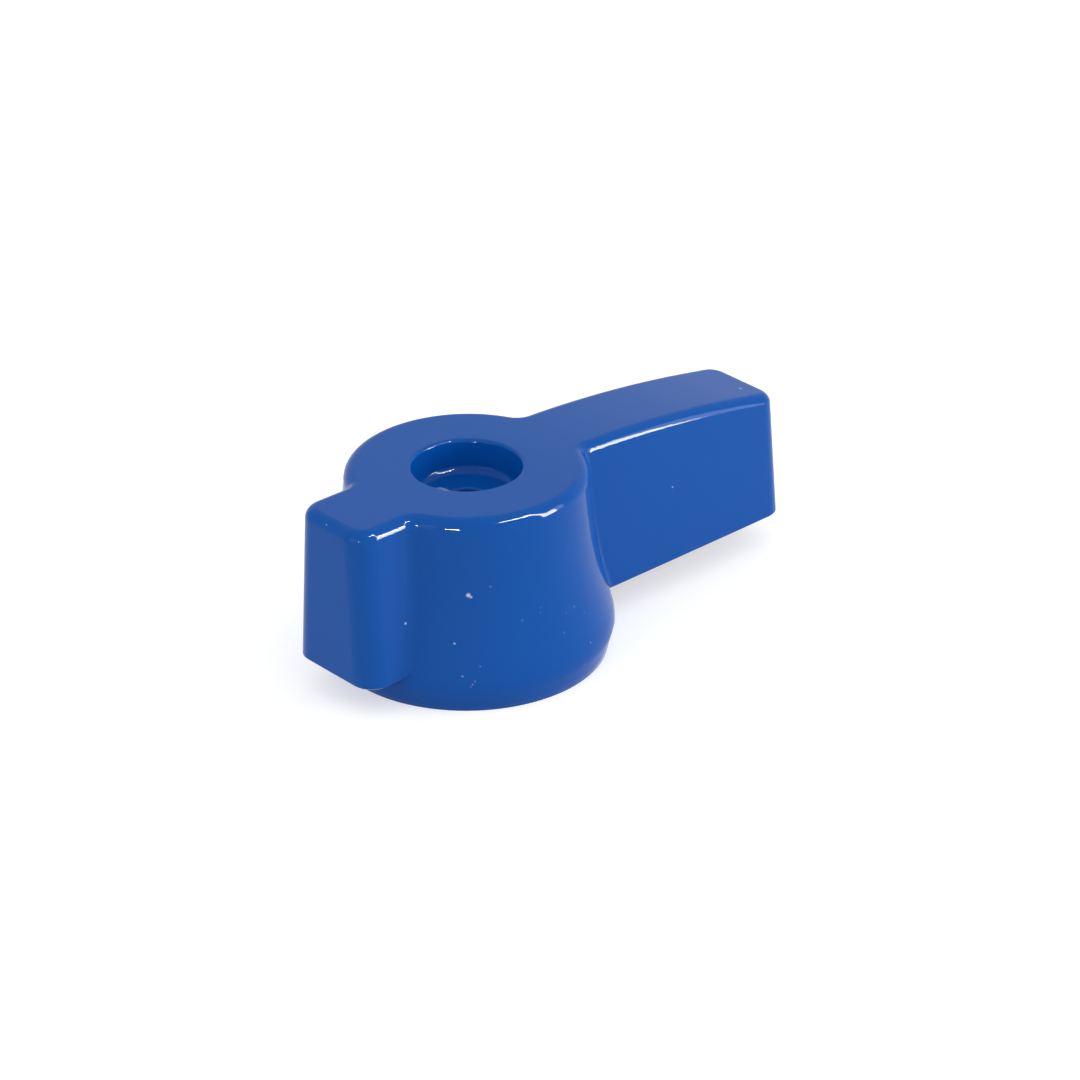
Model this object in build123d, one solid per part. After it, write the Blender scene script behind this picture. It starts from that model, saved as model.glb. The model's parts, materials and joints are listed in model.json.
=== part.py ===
from build123d import *
from build123d.topology import SkipClean
import os
from math import asin, cos, degrees, radians, sin, tan

# Lever handle of a small ball valve, cast as one piece: a flared hub, a long lever arm and a short nub.
# All sizes are in millimetres. The origin is on the hub's axis, in the plane of the base rim.
# +X runs along the lever and +Z points up, out of the hub's top.

# Hub. Its side leans out from the base rim to the bead, the widest place, and then flares in to the shoulder.
# The insets are measured inwards from the bead
height = 17.6
bead_r = 12.9
bead_z = 2.4
bead_round = 6.0
foot_inset = 0.6
shoulder_inset = 2.23
hub_draft = 5.0
flare_z = 12.0

# Both arms. Their undersides lie at the parting line, and their sides lean in from there
parting_z = 2.75
side_draft = 3.8
joint_fillet = 1.2
top_edge_r = 1.1
under_bevel = 0.25

# Lever arm, measured from the hub's axis, with its width at the parting line. Its top line is level to the
# crown's start, then an arc, then straight over the tip
lever_length = 34.1
lever_width = 10.5
lever_end_draft = 1.5
lever_corner_r = 1.85
lever_neck = 0.9
crown_start = 5.0
crown_r = 137.0
tip_run = 4.1

# Nub, whose reach is measured from the bead, with its width at the parting line
nub_reach = 3.0
nub_width = 10.4
nub_end_draft = 0.3
nub_corner_r = 2.15

# Seat for the fixing screw, in the hub's top
recess_r = 4.8
recess_depth = 3.2
recess_floor_bevel = 0.8
recess_rim_bevel = 0.3
screw_hole_r = 1.7
screw_hole_bevel = 0.25

# Skirt, open below, with a true bore at its mouth. Its roof is flat, and this thick under the screw's recess
skirt_inset = 2.7
skirt_bore_depth = 4.5
skirt_wall = 1.4
roof_thickness = 1.8

# Boss for the valve stem, which hangs from the roof
socket_r = 3.3
socket_flats = 4.6
socket_lead_in = 0.4
socket_web = 2.5
boss_wall = 1.6
boss_face_z = 5.0

# Stop ribs beside the boss, set so that the valve's stop pin can swing a quarter turn
quarter_turn = 90.0
stop_pin_r = 1.4
stop_rib_width = 1.8
stop_rib_z = 6.0

# Pocket cored out of the lever from below
pocket_wall = 2.0
pocket_roof = 2.2
pocket_draft = 1.0
pocket_corner_bevel = 0.6

# How far a cutting shape runs past the face that it cuts
over = 3.0
# How near an edge has to be to its nominal place to be picked out
near = 0.01

# Worked out from the sizes above
shoulder_r = bead_r - shoulder_inset
skirt_bore_r = bead_r - skirt_inset
nub_length = bead_r + nub_reach
crown_end = lever_length - tip_run
crown_axis = Axis((crown_start, 0, height - crown_r), (0, 1, 0))
# How far the lever's section has turned with the crown, in degrees, past its neck and at the crown's end
neck_turn = degrees(asin((bead_r + lever_neck - crown_start) / crown_r))
crown_turn = degrees(asin((crown_end - crown_start) / crown_r))


def arc_about(centre, start, end):
    """Arc about the centre, the shorter way from start to end."""
    radius = (start - centre).length
    middle = centre + (start + end - centre * 2).normalized() * radius
    return ThreePointArc(start, middle, end)


def hub_body():
    """Solid hub: the foot leans out to the bead, whose round runs into the flare, tangent to the drafted side."""
    lean = radians(hub_draft)
    outward = Vector(cos(lean), sin(lean))
    flare_start = Vector(shoulder_r + (height - flare_z) * tan(lean), flare_z)
    bead_centre = Vector(bead_r - bead_round, bead_z)
    gap = flare_start - bead_centre
    # The flare's circle touches the side where it starts, and the bead's circle from outside
    flare_r = (gap.length ** 2 - bead_round ** 2) / (2 * (bead_round - gap.dot(outward)))
    flare_centre = flare_start + outward * flare_r
    flare_end = bead_centre + (flare_centre - bead_centre).normalized() * bead_round
    foot_r = bead_r - foot_inset
    widest = Vector(bead_r, bead_z)
    past_top = Vector(shoulder_r - over * tan(lean), height + over)
    foot = Polyline((0, 0), (foot_r, 0), widest)
    bead = arc_about(bead_centre, widest, flare_end)
    flare = arc_about(flare_centre, flare_end, flare_start)
    rest = Polyline(flare_start, past_top, (0, past_top.Y), (0, 0))
    return revolve(Plane.XZ * make_face([foot, bead, flare, rest]), Axis.Z)


def arm_section(x, width, draft, low_z, top_z):
    """Section across an arm at x, narrowing upwards from low_z. Its width is that at the parting line."""
    low = width / 2 - (low_z - parting_z) * tan(radians(draft))
    top = width / 2 - (top_z - parting_z) * tan(radians(draft))
    corners = [(-low, low_z), (low, low_z), (top, top_z), (-top, top_z)]
    across = Plane(origin=(x, 0, 0), x_dir=(0, 1, 0), z_dir=(1, 0, 0))
    return across * make_face(Polyline(*corners, close=True))


def cut_end(arm, length, end_draft, side, soften, size):
    """The arm, on the side of +X (1) or -X (-1), cut at its length by a drafted end, with its corners softened."""
    lean = radians(end_draft)
    end = Plane(origin=(side * length, 0, parting_z), z_dir=(side * cos(lean), 0, sin(lean)))
    arm = split(arm, end, keep=Keep.BOTTOM)
    outer = [e for e in arm.edges() if side * e.center().X > length - over]
    uprights = [e for e in outer if abs(e.position_at(0).Z - e.position_at(1).Z) > over]
    return soften(uprights, size)


def bevel_underside(arm, length):
    """The arm with the edges of its underside, at its sides and its free end, cut off at 45 degrees."""
    low = [e for e in arm.edges() if abs(e.center().Z - parting_z) < near]
    free = [e for e in low if abs(e.center().Y) > near or abs(e.center().X) > length - near]
    return chamfer(free, under_bevel)


def above_parting(arm):
    """The part of the arm that lies above the parting line."""
    return split(arm, Plane.XY.offset(parting_z), keep=Keep.TOP)


def nub_body():
    """Solid nub, running up past the top of the hub."""
    section = arm_section(0, nub_width, side_draft, parting_z, height + over)
    nub = extrude(section, -nub_length - over)
    nub = cut_end(nub, nub_length, nub_end_draft, -1, fillet, nub_corner_r)
    return bevel_underside(nub, nub_length)


def near_lever():
    """Solid lever from the hub's axis to the end of its neck, running up past its top line."""
    section = arm_section(crown_start, lever_width, side_draft, parting_z - over, height + over)
    lever = extrude(section, -crown_start) + revolve(section, crown_axis, neck_turn)
    return bevel_underside(above_parting(lever), lever_length)


def far_lever():
    """Solid lever past its neck: the rounded section turned on with the crown, then straight to the tip."""
    section = arm_section(crown_start, lever_width, side_draft, parting_z - over, height)
    rounded = fillet(section.vertices().group_by(Axis.Z)[-1], top_edge_r)
    stretch = revolve(rounded.rotate(crown_axis, neck_turn), crown_axis, crown_turn - neck_turn)
    tip = above_parting(extrude(section.rotate(crown_axis, crown_turn), lever_length))
    tip = cut_end(tip, lever_length, lever_end_draft, 1, fillet, lever_corner_r)
    top = tip.faces().sort_by(Axis.Z)[-1]
    tip = fillet([e for e in top.outer_wire().edges() if e.center().X > crown_end + near], top_edge_r)
    return bevel_underside(above_parting(stretch) + tip, lever_length)


def under_crown(skin):
    """Everything that lies skin or more below the top line."""
    top_z = height - skin
    radius = crown_r - skin
    turn = radians(crown_turn)
    along = Vector(cos(turn), -sin(turn))
    bend = Vector(crown_start + radius * sin(turn), top_z - radius * (1 - cos(turn)))
    far = bend + along * lever_length
    near_x = -nub_length - over
    level = Line((near_x, top_z), (crown_start, top_z))
    crown = TangentArc((crown_start, top_z), bend, tangent=(1, 0))
    rest = Polyline(bend, far, (far.X, -over), (near_x, -over), (near_x, top_z))
    return extrude(Plane.XZ * make_face([level, crown, rest]), bead_r + over, both=True)


def hub_with_arms():
    """Hub, nub and the lever's neck run into each other, with the joints and the top edge rounded."""
    hub = hub_body()
    lever = near_lever()
    nub = nub_body()
    body = hub + lever + nub
    joints = new_edges(hub, lever, nub, combined=body)
    body = fillet([e for e in joints if e.bounding_box().size.Z > over], joint_fillet)
    body = body & under_crown(0.0)
    tops = [f for f in body.faces() if f.center().Z > height / 2 and f.normal_at(f.center()).Z > 0.9]
    borders = [e for f in tops for e in f.outer_wire().edges()]
    outline = [e for e in borders if sum(other.is_same(e) for other in borders) == 1]
    neck_end = bead_r + lever_neck
    return fillet([e for e in outline if e.center().X < neck_end - near], top_edge_r)


def screw_seat():
    """Space over the screw's seat: the round recess, and the hole through its floor."""
    floor_z = height - recess_depth
    wide_r = recess_r + recess_rim_bevel + over
    low = [(0, floor_z), (recess_r - recess_floor_bevel, floor_z), (recess_r, floor_z + recess_floor_bevel)]
    high = [(recess_r, height - recess_rim_bevel), (wide_r, height + over), (0, height + over)]
    recess = make_face(Polyline(*low, *high, close=True))
    low = [(0, boss_face_z), (screw_hole_r, boss_face_z), (screw_hole_r, floor_z - screw_hole_bevel)]
    high = [(screw_hole_r + screw_hole_bevel, floor_z), (0, floor_z)]
    hole = make_face(Polyline(*low, *high, close=True))
    return revolve(Plane.XZ * (recess + hole), Axis.Z)


def skirt_space():
    """Space in the skirt: the bore at its mouth, then a narrower ring round the boss."""
    roof_z = height - recess_depth - roof_thickness
    ring_r = shoulder_r - skirt_wall
    boss_r = socket_r + boss_wall
    mouth = [(0, -over), (skirt_bore_r, -over), (skirt_bore_r, skirt_bore_depth), (ring_r, skirt_bore_depth)]
    boss = [(ring_r, roof_z), (boss_r, roof_z), (boss_r, boss_face_z), (0, boss_face_z)]
    return revolve(Plane.XZ * make_face(Polyline(*mouth, *boss, close=True)), Axis.Z)


def stop_ribs():
    """Two radial ribs, either side of the nub, with the stop pin's width and a quarter turn between them."""
    path_r = (socket_r + boss_wall + skirt_bore_r) / 2
    pin_angle = degrees(asin(stop_pin_r / path_r))
    rib_angle = degrees(asin(stop_rib_width / 2 / path_r))
    turn = quarter_turn / 2 + pin_angle + rib_angle
    rib_height = height - stop_rib_z
    rib = Pos(bead_r / 2, 0, stop_rib_z + rib_height / 2) * Box(bead_r, stop_rib_width, rib_height)
    return [Rot(0, 0, 180 - turn) * rib, Rot(0, 0, 180 + turn) * rib]


def stem_socket():
    """Space for the valve stem's end: round, with two flats along the lever and a lead-in."""
    outline = Circle(socket_r) & Rectangle(2 * socket_r, socket_flats)
    depth = height - recess_depth - socket_web - boss_face_z
    lead_in = extrude(offset(outline, socket_lead_in), socket_lead_in, taper=45)
    return Pos(0, 0, boss_face_z) * (extrude(outline, depth) + lead_in)


def lever_pocket():
    """Space cored out of the lever: its roof follows the crown, and its inner end the hub's own flare."""
    section = arm_section(0, lever_width - 2 * pocket_wall, side_draft + pocket_draft, parting_z - over, height)
    pocket = extrude(section, lever_length)
    end_draft = lever_end_draft + pocket_draft
    pocket = cut_end(pocket, lever_length - pocket_wall, end_draft, 1, chamfer, pocket_corner_bevel)
    return (pocket & under_crown(pocket_roof)) - hub_body()


near_part = hub_with_arms()
far_part = far_lever()
cavities = [skirt_space() - stop_ribs(), stem_socket(), screw_seat(), lever_pocket()]
# The two parts of the lever share the true section where they meet, so they are joined with no clean-up
with SkipClean():
    handle = near_part + far_part - cavities

os.makedirs("parts", exist_ok=True)
export_step(handle, "parts/handle.step")
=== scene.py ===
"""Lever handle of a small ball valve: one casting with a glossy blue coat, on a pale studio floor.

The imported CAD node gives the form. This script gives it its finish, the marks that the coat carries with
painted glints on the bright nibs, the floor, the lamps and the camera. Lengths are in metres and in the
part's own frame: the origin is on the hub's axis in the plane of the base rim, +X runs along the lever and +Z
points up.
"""

import json
import logging
import math
from dataclasses import dataclass, field
from enum import Enum
from typing import Any, Dict, List, Optional, Sequence, Tuple

import bpy
import numpy as np
from mathutils import Matrix, Vector

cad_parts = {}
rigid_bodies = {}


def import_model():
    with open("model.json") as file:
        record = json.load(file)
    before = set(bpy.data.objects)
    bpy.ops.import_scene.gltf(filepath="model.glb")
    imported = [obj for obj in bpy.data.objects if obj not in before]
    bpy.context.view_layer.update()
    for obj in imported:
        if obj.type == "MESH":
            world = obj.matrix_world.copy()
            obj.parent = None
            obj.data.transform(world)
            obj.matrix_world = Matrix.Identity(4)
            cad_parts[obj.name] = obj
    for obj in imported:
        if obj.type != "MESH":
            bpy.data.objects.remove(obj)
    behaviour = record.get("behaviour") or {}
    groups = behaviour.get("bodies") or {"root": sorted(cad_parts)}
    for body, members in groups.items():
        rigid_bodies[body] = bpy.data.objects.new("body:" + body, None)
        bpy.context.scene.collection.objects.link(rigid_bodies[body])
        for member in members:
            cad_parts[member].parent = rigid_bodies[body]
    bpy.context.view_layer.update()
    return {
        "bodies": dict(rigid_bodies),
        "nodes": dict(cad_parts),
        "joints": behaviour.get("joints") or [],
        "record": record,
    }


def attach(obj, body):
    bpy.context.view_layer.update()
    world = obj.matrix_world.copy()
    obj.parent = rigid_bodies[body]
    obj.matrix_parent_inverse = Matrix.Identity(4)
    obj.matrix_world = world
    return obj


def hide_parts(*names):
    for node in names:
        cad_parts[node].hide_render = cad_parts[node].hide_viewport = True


log = logging.getLogger("handle_scene")

MM = 0.001
Colour = Tuple[float, float, float, float]
Point = Tuple[float, float, float]

# Sockets of a colour mix, which has several of the same name
MIX_FACTOR = 0
MIX_FIRST = 6
MIX_SECOND = 7
MIX_RESULT = 2


def linear(hex_colour: str) -> Colour:
    """Turns an sRGB hex colour into linear red, green, blue and alpha.

    Each channel c in 0..1 becomes c / 12.92 up to 0.04045, and ((c + 0.055) / 1.055) ** 2.4 above it.

    Args:
        hex_colour: The colour as six hex digits, with or without a leading hash.

    Returns:
        The linear colour, with alpha 1.
    """
    digits = hex_colour.lstrip("#")
    srgb = np.array([int(digits[i : i + 2], 16) for i in (0, 2, 4)]) / 255.0
    lin = np.where(srgb <= 0.04045, srgb / 12.92, ((srgb + 0.055) / 1.055) ** 2.4)
    return float(lin[0]), float(lin[1]), float(lin[2]), 1.0


def add_node(
    tree: bpy.types.NodeTree,
    kind: str,
    settings: Optional[Dict[Any, Any]] = None,
    links: Optional[Dict[Any, bpy.types.NodeSocket]] = None,
) -> bpy.types.Node:
    """Adds a node with its settings and its incoming links.

    Args:
        tree: The node tree that gets the node.
        kind: The node's type, such as ShaderNodeBump.
        settings: Values by name or number. The name or number of an input sets that socket, and any other
            name sets the node itself.
        links: Output sockets of other nodes, by the name or number of the input that they feed.

    Returns:
        The new node.
    """
    node = tree.nodes.new(kind)
    for name, value in (settings or {}).items():
        if isinstance(name, int) or name in node.inputs:
            node.inputs[name].default_value = value
        else:
            setattr(node, name, value)
    for name, socket in (links or {}).items():
        tree.links.new(socket, node.inputs[name])
    return node


def larger(
    tree: bpy.types.NodeTree, first: bpy.types.NodeSocket, second: bpy.types.NodeSocket
) -> bpy.types.NodeSocket:
    """Adds a node that gives the larger of two values."""
    return add_node(tree, "ShaderNodeMath", {"operation": "MAXIMUM"}, {0: first, 1: second}).outputs[0]


def seen_directly(tree: bpy.types.NodeTree) -> bpy.types.NodeSocket:
    """Adds nodes that give 1 for a ray from the camera, a mirror-like skin or glass, and 0 for any other.

    Args:
        tree: The node tree that gets the nodes.

    Returns:
        The socket with the 0 or 1.
    """
    path = add_node(tree, "ShaderNodeLightPath").outputs
    seen = larger(tree, path["Is Camera Ray"], path["Is Glossy Ray"])
    return larger(tree, seen, path["Is Transmission Ray"])


@dataclass(frozen=True)
class CoatMark:
    """A nib of dust or a scuff in the coat. Both are painted paler than the coat round them, and on a bright
    nib the pale colour is also a painted glint.

    Attributes:
        place: Its place on the handle, in millimetres.
        radius: Its radius, in millimetres.
        paleness: How much of the pale colour covers the blue, from 0 to 1.
    """

    place: Point
    radius: float
    paleness: float


@dataclass(frozen=True)
class PowderCoat:
    """Glossy epoxy powder coat, sprayed on the casting and baked.

    To the eye it is a deep, even blue under a clear skin: the body colour barely changes with the view, while
    the skin gives sharp, bright reflections whose edges wander a little, because the powder flows out in a
    faint orange peel.

    Attributes:
        pigment: Colour of the body.
        roughness: Roughness of the body.
        ior: Refractive index of the body.
        specular_level: Gloss of the body itself. The skin gives all the gloss, so it is 0.
        skin_weight: How much of the skin counts, from 0 to 1.
        skin_roughness: Roughness of the skin.
        skin_ior: Refractive index of the skin.
        peel_width: Width of a swell of the orange peel.
        peel_height: Height of a swell.
        peel_detail: How many finer layers the peel has.
        peel_fineness: How strong each finer layer is beside the one before it.
        mark_and_glint_colour: Colour of the nibs and scuffs, and of the painted glints on the bright nibs.
        mark_height: How far a nib stands out.
        wander_width: Width of the bends in a mark's edge.
        wander: How far a mark's edge bends.
        marks: The nibs and scuffs. The bright nibs carry painted glints.
    """

    pigment: str = "#0450a4"
    roughness: float = 0.5
    ior: float = 1.5
    specular_level: float = 0.0
    skin_weight: float = 0.8
    skin_roughness: float = 0.04
    skin_ior: float = 1.25
    peel_width: float = 1.7 * MM
    peel_height: float = 0.008 * MM
    peel_detail: float = 2.0
    peel_fineness: float = 0.45
    mark_and_glint_colour: str = "#cfdcee"
    mark_height: float = 0.02 * MM
    wander_width: float = 0.24 * MM
    wander: float = 0.12 * MM
    marks: Sequence[CoatMark] = (
        # A nib of two grains on the hub's front, then single nibs. Their pale colour is dust and a painted
        # glint
        CoatMark((-7.39, -8.55, 10.82), 0.29, 1.00),
        CoatMark((-7.22, -8.68, 10.66), 0.17, 0.90),
        CoatMark((-8.77, -8.22, 6.50), 0.15, 0.80),
        CoatMark((-11.38, -4.85, 8.07), 0.18, 1.00),
        CoatMark((20.22, -4.70, 10.06), 0.13, 0.80),
        CoatMark((31.52, -1.69, 15.02), 0.24, 0.60),
        CoatMark((-15.58, 0.28, 17.19), 0.11, 0.50),
        # Faint grains and scuffs on the hub's front and right
        CoatMark((-5.79, -9.60, 11.52), 0.16, 0.16),
        CoatMark((-3.58, -11.17, 8.01), 0.16, 0.14),
        CoatMark((-1.83, -11.54, 8.28), 0.12, 0.14),
        CoatMark((-1.70, -11.50, 8.70), 0.12, 0.12),
        CoatMark((2.01, -11.66, 7.48), 0.20, 0.12),
        CoatMark((3.22, -11.61, 6.42), 0.12, 0.14),
        CoatMark((0.93, -11.82, 7.36), 0.12, 0.10),
        CoatMark((0.33, -12.21, 5.77), 0.16, 0.10),
        CoatMark((3.27, -12.33, 3.71), 0.16, 0.22),
        CoatMark((2.33, -12.57, 1.96), 0.18, 0.14),
        # Short scratch low on the hub's front, and grains beside it
        CoatMark((-7.47, -10.07, 4.51), 0.13, 0.22),
        CoatMark((-8.80, -9.23, 3.68), 0.14, 0.40),
        CoatMark((-8.24, -9.88, 2.94), 0.14, 0.30),
        CoatMark((-8.05, -9.98, 3.22), 0.11, 0.30),
        CoatMark((-8.38, -9.80, 2.72), 0.10, 0.25),
    )

    def wandering(self, tree: bpy.types.NodeTree, place: bpy.types.NodeSocket) -> bpy.types.NodeSocket:
        """Adds nodes that shift a place a little: place + wander * (noise - 0.5).

        Args:
            tree: The coat's node tree.
            place: The socket with the place in the part's own frame.

        Returns:
            The socket with the shifted place.
        """
        noise = add_node(tree, "ShaderNodeTexNoise", {"Scale": 1.0 / self.wander_width}, {"Vector": place})
        centred = add_node(
            tree,
            "ShaderNodeVectorMath",
            {"operation": "SUBTRACT", 1: (0.5, 0.5, 0.5)},
            {0: noise.outputs["Color"]},
        ).outputs["Vector"]
        return add_node(
            tree,
            "ShaderNodeVectorMath",
            {"operation": "MULTIPLY_ADD", 1: (self.wander,) * 3},
            {0: centred, 2: place},
        ).outputs["Vector"]

    def cover_by(
        self, tree: bpy.types.NodeTree, place: bpy.types.NodeSocket, mark: CoatMark
    ) -> bpy.types.NodeSocket:
        """Adds nodes that give how far one mark covers a place: paleness * smoothstep(radius, 0, distance).

        Args:
            tree: The coat's node tree.
            place: The socket with the shifted place.
            mark: The mark.

        Returns:
            The socket with the cover, from 0 to 1.
        """
        away = add_node(
            tree,
            "ShaderNodeVectorMath",
            {"operation": "DISTANCE", 1: tuple(v * MM for v in mark.place)},
            {0: place},
        ).outputs["Value"]
        fall = {
            "interpolation_type": "SMOOTHSTEP",
            "From Min": mark.radius * MM,
            "From Max": 0.0,
            "To Max": mark.paleness,
        }
        return add_node(tree, "ShaderNodeMapRange", fall, {"Value": away}).outputs["Result"]

    def marked_or_glinting(self, tree: bpy.types.NodeTree, place: bpy.types.NodeSocket) -> bpy.types.NodeSocket:
        """Adds nodes that give how far a place is covered by a nib or a scuff, or by the painted glint on a
        bright nib.

        The mark that covers a place most counts. The place wanders a little, so that no mark is a clean disc.

        Args:
            tree: The coat's node tree.
            place: The socket with the place in the part's own frame.

        Returns:
            The socket with the cover, from 0 to 1.
        """
        shifted = self.wandering(tree, place)
        cover = self.cover_by(tree, shifted, self.marks[0])
        for mark in self.marks[1:]:
            cover = larger(tree, cover, self.cover_by(tree, shifted, mark))
        return cover

    def relief(
        self, tree: bpy.types.NodeTree, place: bpy.types.NodeSocket, cover: bpy.types.NodeSocket
    ) -> bpy.types.NodeSocket:
        """Adds nodes that give the normal of the coat with its orange peel and its nibs.

        The height is peel_height * (noise + cover * mark_height / peel_height).

        Args:
            tree: The coat's node tree.
            place: The socket with the place in the part's own frame.
            cover: The socket with how far a nib or a scuff, or its painted glint, covers the place.

        Returns:
            The socket with the normal.
        """
        # The noise makes one swell per unit, so its scale is one over the width of a swell
        peel = add_node(
            tree,
            "ShaderNodeTexNoise",
            {"Scale": 1.0 / self.peel_width, "Detail": self.peel_detail, "Roughness": self.peel_fineness},
            {"Vector": place},
        ).outputs["Fac"]
        height = add_node(
            tree,
            "ShaderNodeMath",
            {"operation": "MULTIPLY_ADD", 1: self.mark_height / self.peel_height},
            {0: cover, 2: peel},
        ).outputs[0]
        bump = {"Strength": 1.0, "Distance": self.peel_height}
        return add_node(tree, "ShaderNodeBump", bump, {"Height": height}).outputs["Normal"]

    def material(self) -> bpy.types.Material:
        """Builds the coat: a pigmented body under a clear skin, with its orange peel, nibs and scuffs, and
        painted glints on the bright nibs.

        Returns:
            The material.
        """
        mat = bpy.data.materials.new("glossy_powder_coat_blue")
        mat.use_nodes = True
        tree = mat.node_tree
        tree.nodes.clear()
        place = add_node(tree, "ShaderNodeTexCoord").outputs["Object"]
        cover = self.marked_or_glinting(tree, place)
        normal = self.relief(tree, place, cover)
        # Pale colour of the dust nibs and scuffs, which on the bright nibs is also a painted glint
        colour = add_node(
            tree,
            "ShaderNodeMix",
            {"data_type": "RGBA", MIX_FIRST: linear(self.pigment), MIX_SECOND: linear(self.mark_and_glint_colour)},
            {MIX_FACTOR: cover},
        ).outputs[MIX_RESULT]
        body = add_node(
            tree,
            "ShaderNodeBsdfPrincipled",
            {
                "Roughness": self.roughness,
                "IOR": self.ior,
                "Specular IOR Level": self.specular_level,
                "Coat Weight": self.skin_weight,
                "Coat Roughness": self.skin_roughness,
                "Coat IOR": self.skin_ior,
            },
            {"Base Color": colour, "Normal": normal, "Coat Normal": normal},
        )
        add_node(tree, "ShaderNodeOutputMaterial", links={"Surface": body.outputs["BSDF"]})
        return mat


@dataclass(frozen=True)
class StudioPaper:
    """Seamless white studio paper: matt and without pattern. It keeps the shadow and fades to white round it.

    Attributes:
        white: Colour of the paper.
        lift: How much light is added where the camera or a mirror-like skin sees the paper.
    """

    white: str = "#dcdcdc"
    lift: float = 0.50

    def material(self) -> bpy.types.Material:
        """Builds the paper: a matt white that the camera and mirror-like skins see a little brighter.

        Returns:
            The material.
        """
        mat = bpy.data.materials.new("white_studio_paper")
        mat.use_nodes = True
        tree = mat.node_tree
        tree.nodes.clear()
        matt = add_node(tree, "ShaderNodeBsdfDiffuse", {"Color": linear(self.white)}).outputs["BSDF"]
        seen = seen_directly(tree)
        times_lift = {"operation": "MULTIPLY", 1: self.lift}
        glow = add_node(tree, "ShaderNodeMath", times_lift, {0: seen}).outputs[0]
        light = add_node(tree, "ShaderNodeEmission", links={"Strength": glow}).outputs["Emission"]
        both = add_node(tree, "ShaderNodeAddShader", links={0: matt, 1: light}).outputs["Shader"]
        add_node(tree, "ShaderNodeOutputMaterial", links={"Surface": both})
        return mat


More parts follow.
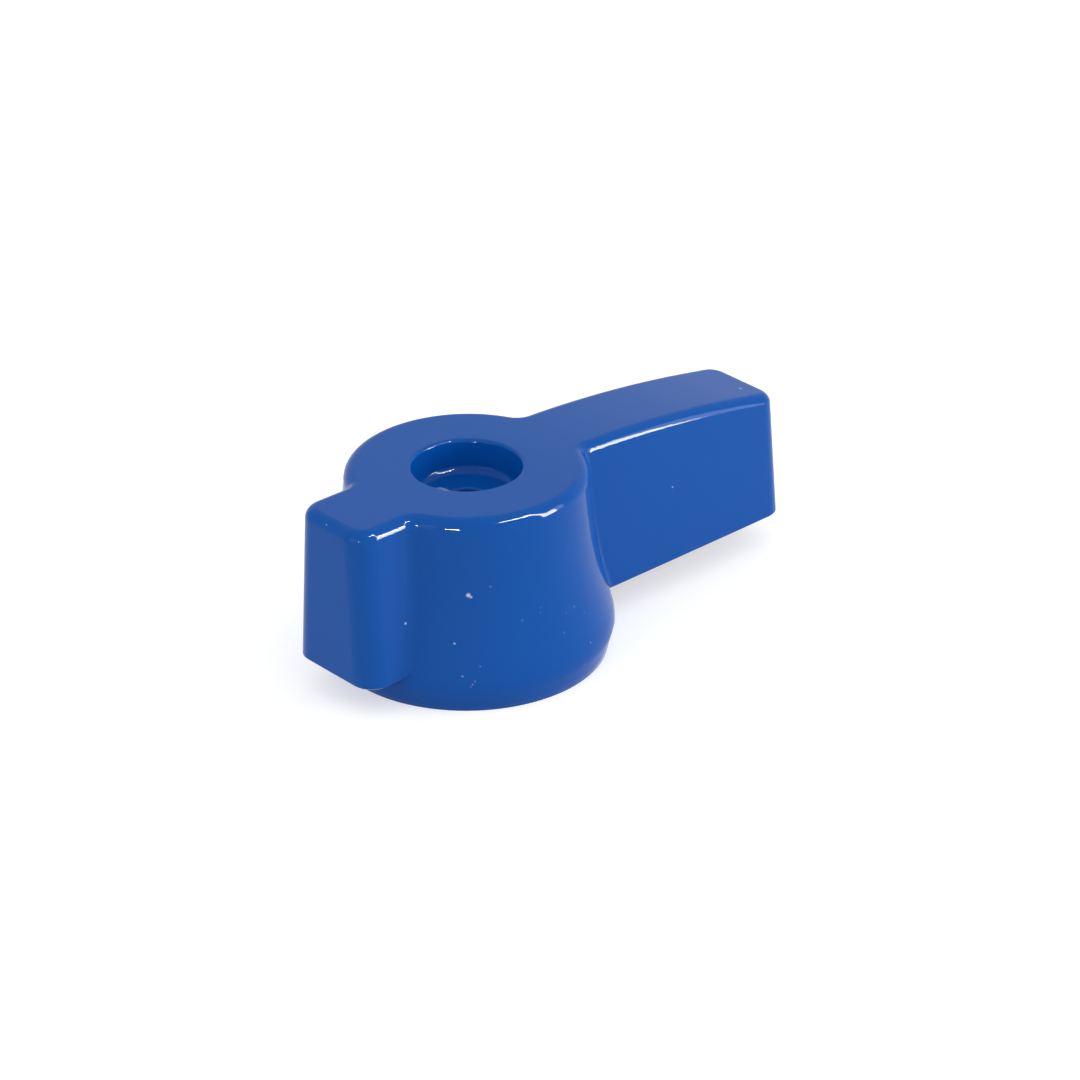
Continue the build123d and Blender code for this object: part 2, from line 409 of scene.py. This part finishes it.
@dataclass
class CoatedHandle:
    """The one casting with its coat.

    The CAD node is a set of loose triangles, so a copy of it is welded and shaded smoothly, and stands for
    it.

    Attributes:
        node: Name of the CAD node.
        height: Height of the hub's flat top.
        crown_start: Distance from the hub's axis at which the top line starts to bend down.
        crown_end: Distance from the hub's axis at which the top line is straight again.
        crown_radius: Radius of the top line between them.
        bead_radius: Radius of the hub at its widest place.
        bead_height: Height of the widest place.
        foot_reach: How far inside the bead the base rim's outer edge may lie.
        foot_tilt: Angle of the foot's normal above level, at the base rim.
        foot_face: Largest upward part of the normal of a face that belongs to the foot's side.
        on_surface: How near a point has to be to a true surface to lie on it.
        weld: How near two points have to be to be joined.
        crease: Angle between two faces above which their edge is shaded as sharp.
        flat_bias: How much the larger faces count in a smooth normal. With 50 all faces count the same.
        coat: Its finish.
    """

    node: str = "handle"
    height: float = 17.6 * MM
    crown_start: float = 5.0 * MM
    crown_end: float = 30.0 * MM
    crown_radius: float = 137.0 * MM
    bead_radius: float = 12.9 * MM
    bead_height: float = 2.4 * MM
    foot_reach: float = 1.0 * MM
    foot_tilt: float = math.radians(-28.0)
    foot_face: float = 0.7
    on_surface: float = 0.003 * MM
    weld: float = 0.0005 * MM
    crease: float = math.radians(50.0)
    flat_bias: int = 60
    coat: PowderCoat = field(default_factory=PowderCoat)

    def build(self, frame: Dict[str, Any]) -> bpy.types.Object:
        """Makes the coated casting and puts it in the CAD node's place.


        Returns:
            The coated casting.
        """
        mesh = self.smooth_copy(frame["nodes"][self.node].data)
        mesh.materials.append(self.coat.material())
        piece = bpy.data.objects.new("coated_handle", mesh)
        bpy.context.scene.collection.objects.link(piece)
        self.favour_large_faces(piece)
        self.set_true_normals(piece.data)
        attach(piece, "root")
        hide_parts(self.node)
        return piece

    def smooth_copy(self, source: bpy.types.Mesh) -> bpy.types.Mesh:
        """Copies the CAD node's triangles into a mesh that is welded and shaded smoothly up to its creases.

        Args:
            source: The CAD node's mesh, which stays as it is.

        Returns:
            The new mesh.
        """
        places = np.empty(len(source.vertices) * 3, np.float32)
        source.vertices.foreach_get("co", places)
        corners = np.empty(len(source.loops), np.int32)
        source.loops.foreach_get("vertex_index", corners)
        points, faces = self.welded(places.reshape(-1, 3), corners.reshape(-1, 3))
        mesh = bpy.data.meshes.new("coated_handle")
        mesh.from_pydata(points.tolist(), [], faces.tolist())
        mesh.polygons.foreach_set("use_smooth", np.ones(len(mesh.polygons), bool))
        mesh.update()
        mesh.set_sharp_from_angle(angle=self.crease)
        log.info(
            "casting: %d points welded to %d, %d triangles", len(source.vertices), len(points), len(faces)
        )
        return mesh

    def welded(self, points: np.ndarray, faces: np.ndarray) -> Tuple[np.ndarray, np.ndarray]:
        """Joins points that lie in the same cell of a grid of the welding distance.

        Args:
            points: Points, one row each.
            faces: Triangles, as rows of three point numbers.

        Returns:
            The points that are left, and the triangles that still have three corners.
        """
        cells = np.round(points / self.weld).astype(np.int64)
        _, first, where = np.unique(cells, axis=0, return_index=True, return_inverse=True)
        faces = where.reshape(-1)[faces]
        whole = (faces[:, 0] != faces[:, 1]) & (faces[:, 1] != faces[:, 2]) & (faces[:, 2] != faces[:, 0])
        return points[first], faces[whole]

    def favour_large_faces(self, piece: bpy.types.Object) -> None:
        """Lets normals follow the larger faces, so that flats stay flat up to the rounds beside them.

        Args:
            piece: The casting, whose mesh is replaced by one with those normals.
        """
        weighted = piece.modifiers.new("flats_stay_flat", "WEIGHTED_NORMAL")
        weighted.mode = "FACE_AREA_WITH_ANGLE"
        weighted.weight = self.flat_bias
        weighted.keep_sharp = True
        evaluated = piece.evaluated_get(bpy.context.evaluated_depsgraph_get())
        piece.data = bpy.data.meshes.new_from_object(evaluated)
        piece.modifiers.clear()

    def set_true_normals(self, mesh: bpy.types.Mesh) -> None:
        """Gives the top and the foot the normals of their true surfaces, where long triangles would show.

        The top leans by asin(bent / crown radius) towards +X, with bent the distance past the crown's start,
        up to the crown's end. The foot's normal turns evenly, from level at the bead to the foot's tilt at
        the base.

        Args:
            mesh: The casting's mesh, whose corner normals are changed.
        """
        points = np.empty(len(mesh.vertices) * 3, np.float32)
        mesh.vertices.foreach_get("co", points)
        corners = np.empty(len(mesh.loops), np.int32)
        mesh.loops.foreach_get("vertex_index", corners)
        at = points.reshape(-1, 3)[corners].astype(float)
        face_normals = np.empty(len(mesh.polygons) * 3, np.float32)
        mesh.polygons.foreach_get("normal", face_normals)
        face_up = np.repeat(face_normals.reshape(-1, 3)[:, 2], 3)
        corner_normals = np.empty(len(mesh.loops) * 3, np.float32)
        mesh.corner_normals.foreach_get("vector", corner_normals)
        normals = corner_normals.reshape(-1, 3).astype(float)

        bent = np.clip(at[:, 0] - self.crown_start, 0.0, self.crown_end - self.crown_start)
        level = np.sqrt(self.crown_radius**2 - bent**2)
        past = np.maximum(at[:, 0] - self.crown_end, 0.0)
        top = self.height - (self.crown_radius - level) - past * bent / level
        on_top = np.abs(at[:, 2] - top) < self.on_surface
        lean, rise = bent / self.crown_radius, level / self.crown_radius
        normals[on_top] = np.stack([lean, np.zeros_like(bent), rise], axis=1)[on_top]

        radius = np.hypot(at[:, 0], at[:, 1])
        outward = at[:, :2] / np.maximum(radius, self.on_surface)[:, None]
        at_bead_height = np.abs(at[:, 2] - self.bead_height) < self.on_surface
        on_bead = at_bead_height & (np.abs(radius - self.bead_radius) < self.on_surface)
        outermost = radius > self.bead_radius - self.foot_reach
        on_base = (at[:, 2] < self.on_surface) & outermost & (np.abs(face_up) < self.foot_face)
        for which, tilt in ((on_bead, 0.0), (on_base, self.foot_tilt)):
            up = np.full(len(radius), math.sin(tilt))
            normals[which] = np.column_stack([outward * math.cos(tilt), up])[which]
        mesh.normals_split_custom_set(normals.tolist())
        on_foot = on_bead | on_base
        log.info("true normals: %d corners on top, %d on the foot", on_top.sum(), on_foot.sum())


@dataclass
class StudioFloor:
    """The paper that the handle stands on: a large square in the plane of the base rim.

    Attributes:
        half: Half the length of its side.
        paper: Its finish.
    """

    half: float = 1.5
    paper: StudioPaper = field(default_factory=StudioPaper)

    def build(self) -> bpy.types.Object:
        """Lays the floor.

        Returns:
            The floor.
        """
        side = np.array([-self.half, self.half])
        x, y = np.meshgrid(side, side)
        points = np.stack([x.ravel(), y.ravel(), np.zeros(x.size)], axis=1)
        mesh = bpy.data.meshes.new("studio_floor")
        mesh.from_pydata(points.tolist(), [], [(0, 1, 3, 2)])
        mesh.update()
        mesh.materials.append(self.paper.material())
        floor = bpy.data.objects.new("studio_floor", mesh)
        bpy.context.scene.collection.objects.link(floor)
        log.info("floor: %.1f m square", 2 * self.half)
        return floor


class LampRole(Enum):
    """What a studio lamp does."""

    LIGHT = "lights the object and shows as a highlight"
    HIGHLIGHT = "only shows as a highlight"


@dataclass
class StudioLamp:
    """One lamp of the studio, a flat rectangle, set by the direction that it shines from.

    Attributes:
        name: What the lamp stands for.
        heading: Angle of its direction about +Z, from +X, in degrees.
        height: Angle of its direction above the floor, in degrees.
        distance: How far it is from the handle.
        size: Width and height of its face.
        watts: Its power.
        role: What it does.
    """

    name: str
    heading: float
    height: float
    distance: float
    size: Tuple[float, float]
    watts: float
    role: LampRole

    def build(self, target: Point) -> bpy.types.Object:
        """Hangs the lamp so that it faces the target.

        Its direction is (cos a cos h, sin a cos h, sin h), with heading a and height h.

        Args:
            target: The point that it faces.

        Returns:
            The lamp.
        """
        a, h = math.radians(self.heading), math.radians(self.height)
        towards = Vector((math.cos(a) * math.cos(h), math.sin(a) * math.cos(h), math.sin(h)))
        data = bpy.data.lights.new(self.name, "AREA")
        data.shape = "RECTANGLE"
        data.size, data.size_y = self.size
        data.energy = self.watts
        lamp = bpy.data.objects.new(self.name, data)
        lamp.location = Vector(target) + towards * self.distance
        lamp.rotation_mode = "QUATERNION"
        lamp.rotation_quaternion = towards.to_track_quat("Z", "Y")
        lamp.visible_diffuse = self.role is LampRole.LIGHT
        bpy.context.scene.collection.objects.link(lamp)
        log.info("lamp %s: %.2f W, %s", self.name, self.watts, self.role.value)
        return lamp


@dataclass
class Studio:
    """Room light, lamps and floor.

    Attributes:
        room: Colour of the room's light.
        room_light: Its strength.
        target: The point that the lamps face, in the middle of the handle.
        lamps: The lamps.
    """

    room: str = "#ffffff"
    room_light: float = 0.85
    target: Point = (0.009, 0.0, 0.009)
    lamps: Sequence[StudioLamp] = (
        StudioLamp("right_soft_box", -50.0, 14.0, 0.5, (0.24, 0.24), 1.1, LampRole.LIGHT),
        StudioLamp("left_soft_box", -175.0, 14.0, 0.6, (0.30, 0.30), 0.35, LampRole.LIGHT),
        StudioLamp("right_window", -54.5, 5.0, 0.5, (0.15, 0.30), 8.0, LampRole.HIGHLIGHT),
        StudioLamp("window_edge", -60.5, 34.0, 0.5, (0.022, 0.30), 2.2, LampRole.HIGHLIGHT),
        StudioLamp("ceiling_tube", -77.0, 50.0, 0.5, (0.24, 0.03), 5.5, LampRole.HIGHLIGHT),
        StudioLamp("left_window", -145.0, 9.5, 0.5, (0.11, 0.06), 3.0, LampRole.HIGHLIGHT),
    )

    def build(self) -> None:
        """Sets up the room, the lamps and the floor."""
        self.light_room()
        for lamp in self.lamps:
            lamp.build(self.target)
        StudioFloor().build()

    def light_room(self) -> None:
        """Gives the room its even light. The camera and mirror-like skins see it as plain white."""
        world = bpy.data.worlds.new("studio_room")
        world.use_nodes = True
        tree = world.node_tree
        tree.nodes.clear()
        seen = seen_directly(tree)
        # Strength is room_light, or 1 where the room is seen: room_light + seen * (1 - room_light)
        strength = add_node(
            tree,
            "ShaderNodeMath",
            {"operation": "MULTIPLY_ADD", 1: 1.0 - self.room_light, 2: self.room_light},
            {0: seen},
        ).outputs[0]
        even = add_node(tree, "ShaderNodeBackground", {"Color": linear(self.room)}, {"Strength": strength})
        add_node(tree, "ShaderNodeOutputWorld", links={"Surface": even.outputs["Background"]})
        bpy.context.scene.world = world
        log.info("room: light of strength %.2f", self.room_light)


@dataclass
class PhotoCamera:
    """The camera, at the photograph's viewing angle.

    It looks at a point on the hub's axis, at the hub's top, from a heading and a height, with a small roll.
    That point is shown off the picture's centre, so the camera is moved sideways and up in its own plane, and
    its lens isn't shifted.

    Attributes:
        heading: Angle of its level axis about +Z, from +X, in degrees.
        height: Angle at which it looks down on the point, in degrees.
        roll: Turn about its own line of sight, in degrees.
        distance: Distance from the point.
        focal_pixels: Focal length, in the picture's pixels.
        shown_at: Where the point is shown, in pixels from the picture's left and top.
        point_height: Height of the point.
        picture: Side of the picture, in pixels.
        sensor: Side of the sensor, in millimetres.
        nearest: Nearest distance that it sees.
        farthest: Farthest distance that it sees.
    """

    heading: float = -41.685
    height: float = 28.129
    roll: float = -0.479
    distance: float = 399.374 * MM
    focal_pixels: float = 4595.824
    shown_at: Tuple[float, float] = (466.656, 464.236)
    point_height: float = 17.622 * MM
    picture: float = 1080.0
    sensor: float = 36.0
    nearest: float = 0.01
    farthest: float = 20.0

    def build(self) -> bpy.types.Object:
        """Sets up the camera and makes it the scene's.

        With heading a and height e, the camera's back axis is (sin a cos e, -cos a cos e, sin e) and its
        level axis is (cos a, sin a, 0). Its right and up axes are the level axis and the axis at right angles
        to both, turned by the roll.

        Returns:
            The camera.
        """
        a, e, r = (math.radians(v) for v in (self.heading, self.height, self.roll))
        back = Vector((math.sin(a) * math.cos(e), -math.cos(a) * math.cos(e), math.sin(e)))
        level = Vector((math.cos(a), math.sin(a), 0.0))
        rise = back.cross(level)
        right = math.cos(r) * level + math.sin(r) * rise
        up = -math.sin(r) * level + math.cos(r) * rise
        centre = self.picture / 2
        across, down = ((v - centre) / self.focal_pixels * self.distance for v in self.shown_at)
        point = Vector((0.0, 0.0, self.point_height))
        place = point + self.distance * back - across * right + down * up
        data = bpy.data.cameras.new("photo_camera")
        data.sensor_width = self.sensor
        data.lens = self.focal_pixels * self.sensor / self.picture
        data.clip_start = self.nearest
        data.clip_end = self.farthest
        camera = bpy.data.objects.new("photo_camera", data)
        camera.matrix_world = Matrix.Translation(place) @ Matrix((right, up, back)).transposed().to_4x4()
        bpy.context.scene.collection.objects.link(camera)
        bpy.context.scene.camera = camera
        log.info("camera: %.1f mm lens at %s", data.lens, [round(v, 4) for v in place])
        return camera


def main() -> None:
    """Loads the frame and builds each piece."""
    logging.basicConfig(level=logging.INFO, format="%(name)s: %(message)s")
    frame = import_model()
    CoatedHandle().build(frame)
    Studio().build()
    PhotoCamera().build()
    bpy.context.scene.view_settings.view_transform = "Standard"


if __name__ == "__main__":
    main()
